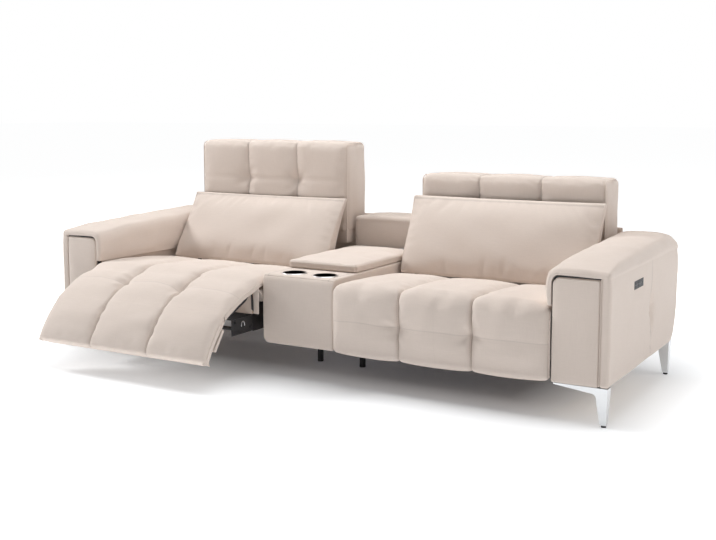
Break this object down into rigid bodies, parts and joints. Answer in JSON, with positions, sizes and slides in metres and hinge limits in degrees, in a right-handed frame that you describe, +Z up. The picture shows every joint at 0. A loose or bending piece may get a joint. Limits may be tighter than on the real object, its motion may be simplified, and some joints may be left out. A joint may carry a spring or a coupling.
{
  "type": "reclining sofa with fixed console",
  "caption": "Power recliner sofa with a fixed storage console and cup holders between its seats; footrests fold out, backs slide and tilt, headrests rise.",
  "frame": {"origin": "on the floor, under the middle of the sofa's overall box with one footrest out", "axes": "+X along the width, to the side of the seat that is stored closed; +Y towards the back; +Z up"},
  "size_m": [2.603, 1.3348, 0.95],
  "materials": {
    "cover": "light beige upholstery cover over foam",
    "plywood": "plain plywood",
    "webbing": "woven elastic strap",
    "satin_metal": "satin cast metal",
    "black_plastic": "fine matte black",
    "cup_metal": "dark brushed cup with a bright rim",
    "dark_steel": "black powder coat",
    "bright_steel": "zinc-plated steel"
  },
  "bodies": {
    "sofa_frame": {"back_panels": "cover", "console_back_rest": "cover", "console_bin": "black_plastic", "console_body": "cover", "console_lid_hinge": "bright_steel", "control_plates": "black_plastic", "cup_holders": "cup_metal", "front_corner_legs": "satin_metal", "headrest_guides": "black_plastic", "left_arm_frame": "plywood", "left_arm_front_panel": "cover", "left_arm_side_panel": "cover", "left_arm_top_pad": "cover", "left_seat_frame": "plywood", "leg_glides": "black_plastic", "mechanism_plates": "dark_steel", "rear_corner_legs": "satin_metal", "recline_motors": "black_plastic", "right_arm_frame": "plywood", "right_arm_front_panel": "cover", "right_arm_side_panel": "cover", "right_arm_top_pad": "cover", "right_seat_frame": "plywood", "support_legs": "dark_steel"},
    "right_footrest": {"right_footrest_upper_pad": "cover", "right_footrest_upper_board": "plywood", "right_footrest_arms": "dark_steel"},
    "right_flap": {"right_footrest_lower_pad": "cover", "right_footrest_lower_board": "plywood", "right_fold_hinge": "dark_steel"},
    "right_drive": {"right_drive_rod": "bright_steel"},
    "right_seat": {"right_seat_carriage": "dark_steel", "right_seat_deck": "plywood", "right_seat_straps": "webbing", "right_seat_pad": "cover"},
    "right_back": {"right_back_board": "plywood", "right_back_cushion": "cover"},
    "right_headrest": {"right_headrest_pad": "cover", "right_headrest_rods": "bright_steel"},
    "right_recline_button": {"right_recline_rocker": "black_plastic"},
    "right_headrest_button": {"right_headrest_rocker": "black_plastic"},
    "left_footrest": {"left_footrest_upper_pad": "cover", "left_footrest_upper_board": "plywood", "left_footrest_arms": "dark_steel"},
    "left_flap": {"left_footrest_lower_pad": "cover", "left_footrest_lower_board": "plywood", "left_fold_hinge": "dark_steel"},
    "left_drive": {"left_drive_rod": "bright_steel"},
    "left_seat": {"left_seat_carriage": "dark_steel", "left_seat_deck": "plywood", "left_seat_straps": "webbing", "left_seat_pad": "cover"},
    "left_back": {"left_back_board": "plywood", "left_back_cushion": "cover"},
    "left_headrest": {"left_headrest_pad": "cover", "left_headrest_rods": "bright_steel"},
    "left_recline_button": {"left_recline_rocker": "black_plastic"},
    "left_headrest_button": {"left_headrest_rocker": "black_plastic"},
    "console_lid": {"console_lid": "cover"}
  },
  "joints": [
    {"name": "right_footrest_hinge", "type": "hinge", "parent": "right_seat", "child": "right_footrest", "pos_m": [0.6295, -0.27483, 0.38], "axis": [-1, 0, 0], "range_deg": [0, 66]},
    {"name": "right_flap_hinge", "type": "hinge", "parent": "right_footrest", "child": "right_flap", "pos_m": [0.6295, -0.28584, 0.157], "axis": [-1, 0, 0], "range_deg": [0, 60]},
    {"name": "right_drive_slide", "type": "slide", "parent": "sofa_frame", "child": "right_drive", "axis": [0, -1, 0], "range_m": [0, 0.208]},
    {"name": "right_seat_slide", "type": "slide", "parent": "sofa_frame", "child": "right_seat", "axis": [0, -0.9596, -0.2813], "range_m": [0, 0.06044]},
    {"name": "right_back_tilt", "type": "hinge", "parent": "right_seat", "child": "right_back", "pos_m": [0.6295, 0.33116, 0.387], "axis": [-1, 0, 0], "range_deg": [0, 7.5]},
    {"name": "right_headrest_lift", "type": "slide", "parent": "sofa_frame", "child": "right_headrest", "axis": [0, -0.2238, 0.9746], "range_m": [0, 0.13851]},
    {"name": "right_recline_button_rock", "type": "hinge", "parent": "sofa_frame", "child": "right_recline_button", "pos_m": [1.296, 0.01966, 0.4615], "axis": [0, 0, 1], "range_deg": [-4, 4], "stiffness_Nm_per_rad": 0.15},
    {"name": "right_headrest_button_rock", "type": "hinge", "parent": "sofa_frame", "child": "right_headrest_button", "pos_m": [1.296, 0.05967, 0.4615], "axis": [0, 0, 1], "range_deg": [-4, 4], "stiffness_Nm_per_rad": 0.15},
    {"name": "left_footrest_hinge", "type": "hinge", "parent": "left_seat", "child": "left_footrest", "pos_m": [-0.6295, -0.33283, 0.363], "axis": [-1, 0, 0], "range_deg": [-66, 0]},
    {"name": "left_flap_hinge", "type": "hinge", "parent": "left_footrest", "child": "left_flap", "pos_m": [-0.6295, -0.54103, 0.28235], "axis": [-1, 0, 0], "range_deg": [-60, 0]},
    {"name": "left_drive_slide", "type": "slide", "parent": "sofa_frame", "child": "left_drive", "axis": [0, -1, 0], "range_m": [-0.208, 0]},
    {"name": "left_seat_slide", "type": "slide", "parent": "sofa_frame", "child": "left_seat", "axis": [0, -0.9596, -0.2813], "range_m": [-0.06044, 0]},
    {"name": "left_back_tilt", "type": "hinge", "parent": "left_seat", "child": "left_back", "pos_m": [-0.6295, 0.27316, 0.37], "axis": [-1, 0, 0], "range_deg": [-7.5, 0]},
    {"name": "left_headrest_lift", "type": "slide", "parent": "sofa_frame", "child": "left_headrest", "axis": [0, -0.2238, 0.9746], "range_m": [-0.13851, 0]},
    {"name": "left_recline_button_rock", "type": "hinge", "parent": "sofa_frame", "child": "left_recline_button", "pos_m": [-1.296, 0.01966, 0.4615], "axis": [0, 0, 1], "range_deg": [-4, 4], "stiffness_Nm_per_rad": 0.15},
    {"name": "left_headrest_button_rock", "type": "hinge", "parent": "sofa_frame", "child": "left_headrest_button", "pos_m": [-1.296, 0.05967, 0.4615], "axis": [0, 0, 1], "range_deg": [-4, 4], "stiffness_Nm_per_rad": 0.15},
    {"name": "console_lid_hinge", "type": "hinge", "parent": "sofa_frame", "child": "console_lid", "pos_m": [0, 0.45916, 0.4603], "axis": [-1, 0, 0], "range_deg": [0, 85]}
  ],
  "couplings": [
    {"joint": "right_flap_hinge", "follows": "right_footrest_hinge", "ratio": 0.90909},
    {"joint": "right_drive_slide", "follows": "right_footrest_hinge", "m_per_rad": 0.18057},
    {"joint": "right_seat_slide", "follows": "right_footrest_hinge", "m_per_rad": 0.052469},
    {"joint": "right_back_tilt", "follows": "right_footrest_hinge", "ratio": 0.11364},
    {"joint": "left_flap_hinge", "follows": "left_footrest_hinge", "ratio": 0.90909},
    {"joint": "left_drive_slide", "follows": "left_footrest_hinge", "m_per_rad": 0.18057},
    {"joint": "left_seat_slide", "follows": "left_footrest_hinge", "m_per_rad": 0.052469},
    {"joint": "left_back_tilt", "follows": "left_footrest_hinge", "ratio": 0.11364}
  ]
}
